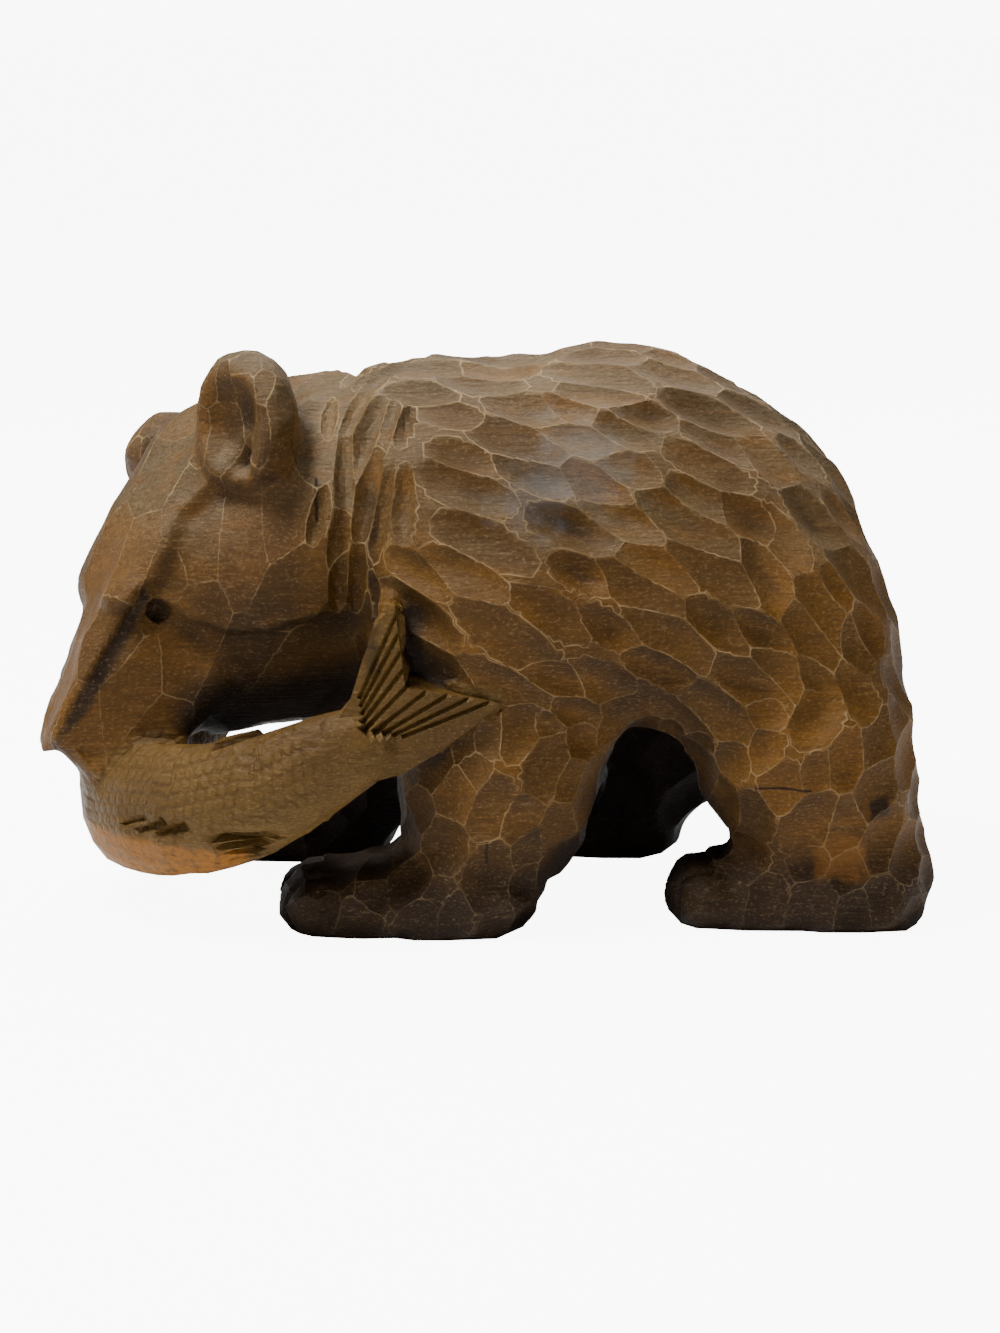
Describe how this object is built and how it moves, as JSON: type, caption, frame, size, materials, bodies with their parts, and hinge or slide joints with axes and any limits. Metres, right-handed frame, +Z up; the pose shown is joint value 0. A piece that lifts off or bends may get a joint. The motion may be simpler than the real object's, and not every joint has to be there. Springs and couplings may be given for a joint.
{
  "type": "carved wooden bear statue",
  "caption": "Wooden bear carved from one block, walking on four feet with its head low and a salmon held across its mouth; gouge cuts all over.",
  "frame": {"origin": "centre of the bounding box on the ground, level with the four soles", "axes": "+Z up, -X the way the bear looks, -Y its left flank, the side the picture shows"},
  "size_m": [0.292, 0.13, 0.187],
  "materials": {
    "carved_wood": "dark stained, gouge-cut, worn satin with pale ridges and a bare belly on the fish"
  },
  "bodies": {
    "root": {"bear_with_salmon": "carved_wood"}
  },
  "joints": []
}
